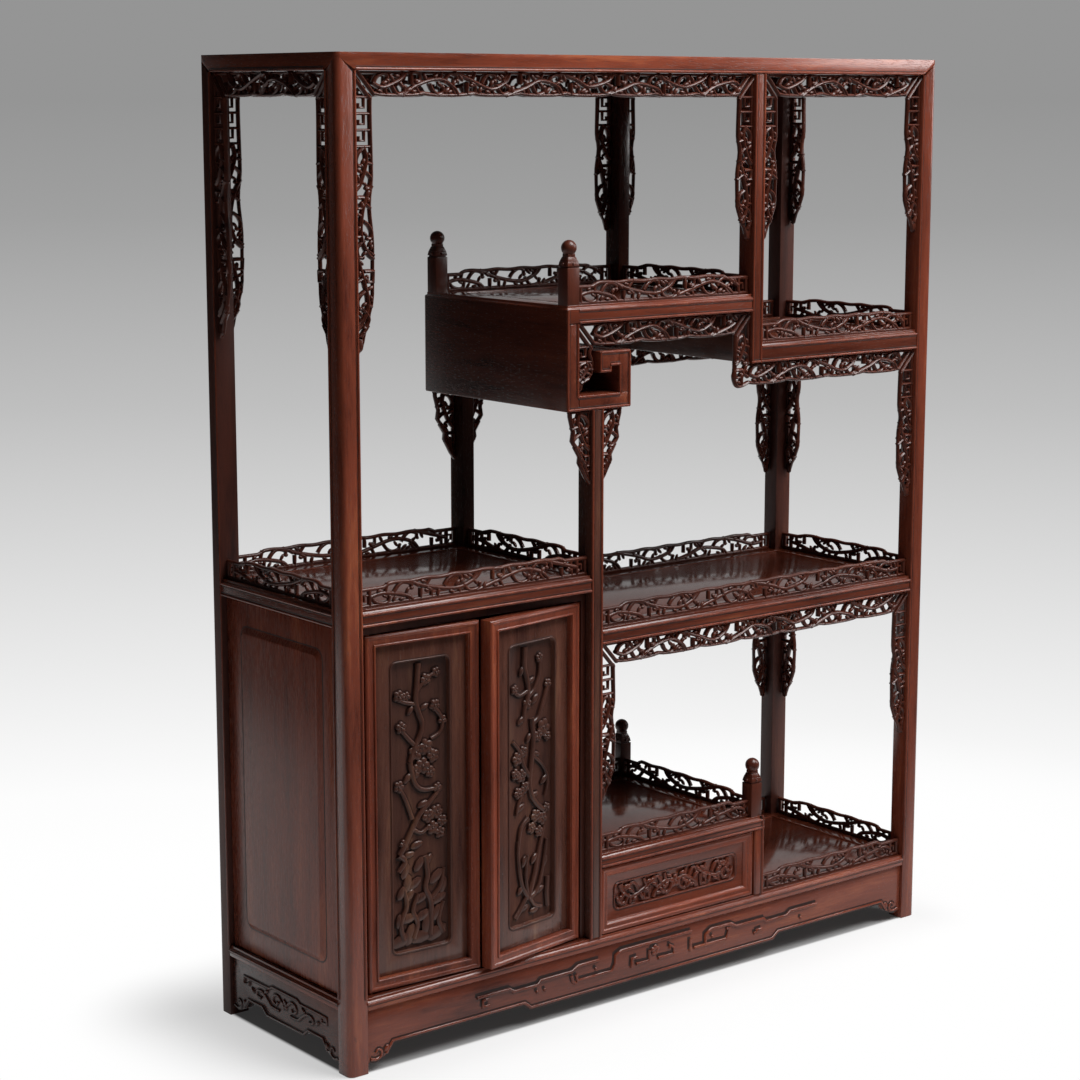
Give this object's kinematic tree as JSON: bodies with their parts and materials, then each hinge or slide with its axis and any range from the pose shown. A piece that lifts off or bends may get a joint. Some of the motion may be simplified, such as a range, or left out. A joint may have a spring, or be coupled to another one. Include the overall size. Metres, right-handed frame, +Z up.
{
  "type": "curio cabinet",
  "caption": "Free-standing carved hardwood curio cabinet: stepped open shelves with pierced aprons and galleries, a cupboard with pivoted doors and a drawer.",
  "frame": {"origin": "floor level, at the middle of the bounding box's bottom, midway between the ajar door's edge and the back", "axes": "+Z up, front towards -Y, +X to the right as seen from the front"},
  "size_m": [0.77, 0.2432, 0.95],
  "materials": {
    "frame": "satin polish",
    "panel": "satin polish",
    "fret": "satin polish",
    "inner": "oiled"
  },
  "bodies": {
    "carcass": {"base_apron_front": "frame", "base_apron_left": "frame", "base_apron_rear": "frame", "base_apron_right": "frame", "base_frame": "frame", "base_panel": "panel", "centre_post_front": "frame", "centre_post_rear": "frame", "cupboard_back": "inner", "cupboard_top_frame": "frame", "cupboard_top_panel": "panel", "door_surround": "inner", "drawer_back_panel": "inner", "drawer_post_front": "frame", "drawer_post_rear": "frame", "drawer_side_panel": "panel", "drawer_top_frame": "frame", "drawer_top_panel": "panel", "fret_front_left": "fret", "fret_front_lower": "fret", "fret_front_right": "fret", "fret_front_step": "fret", "fret_rear_left": "fret", "fret_rear_lower": "fret", "fret_rear_right": "fret", "fret_rear_step": "fret", "fret_side_left": "fret", "fret_side_right_lower": "fret", "fret_side_right_middle": "fret", "fret_side_right_upper": "fret", "middle_shelf_frame": "frame", "middle_shelf_panel": "panel", "partition": "panel", "post_front_left": "frame", "post_front_right": "frame", "post_rear_left": "frame", "post_rear_right": "frame", "scroll_bottom_board": "frame", "scroll_end_board": "frame", "scroll_lip": "frame", "scroll_side_board": "frame", "side_panel_left": "panel", "step_riser": "panel", "step_shelf_frame": "frame", "step_shelf_panel": "panel", "top_frame": "frame", "top_panel": "panel", "upper_post_front": "frame", "upper_post_rear": "frame", "upper_shelf_frame": "frame", "upper_shelf_panel": "panel"},
    "door_left": {"door_left_frame": "frame", "door_left_panel": "panel"},
    "door_right": {"door_right_frame": "frame", "door_right_panel": "panel"},
    "drawer": {"drawer_back": "inner", "drawer_bottom": "inner", "drawer_front": "frame", "drawer_side_left": "inner", "drawer_side_right": "inner"}
  },
  "joints": [
    {"name": "door_left_hinge", "type": "hinge", "parent": "carcass", "child": "door_left", "pos_m": [-0.3523, -0.09834, 0.25225], "axis": [0, 0, -1], "range_deg": [-3, 97]},
    {"name": "door_right_hinge", "type": "hinge", "parent": "carcass", "child": "door_right", "pos_m": [-0.10295, -0.09834, 0.25225], "axis": [0, 0, 1], "range_deg": [-9, 91]},
    {"name": "drawer_slide", "type": "slide", "parent": "carcass", "child": "drawer", "axis": [0, -1, 0], "range_m": [0, 0.15]}
  ]
}
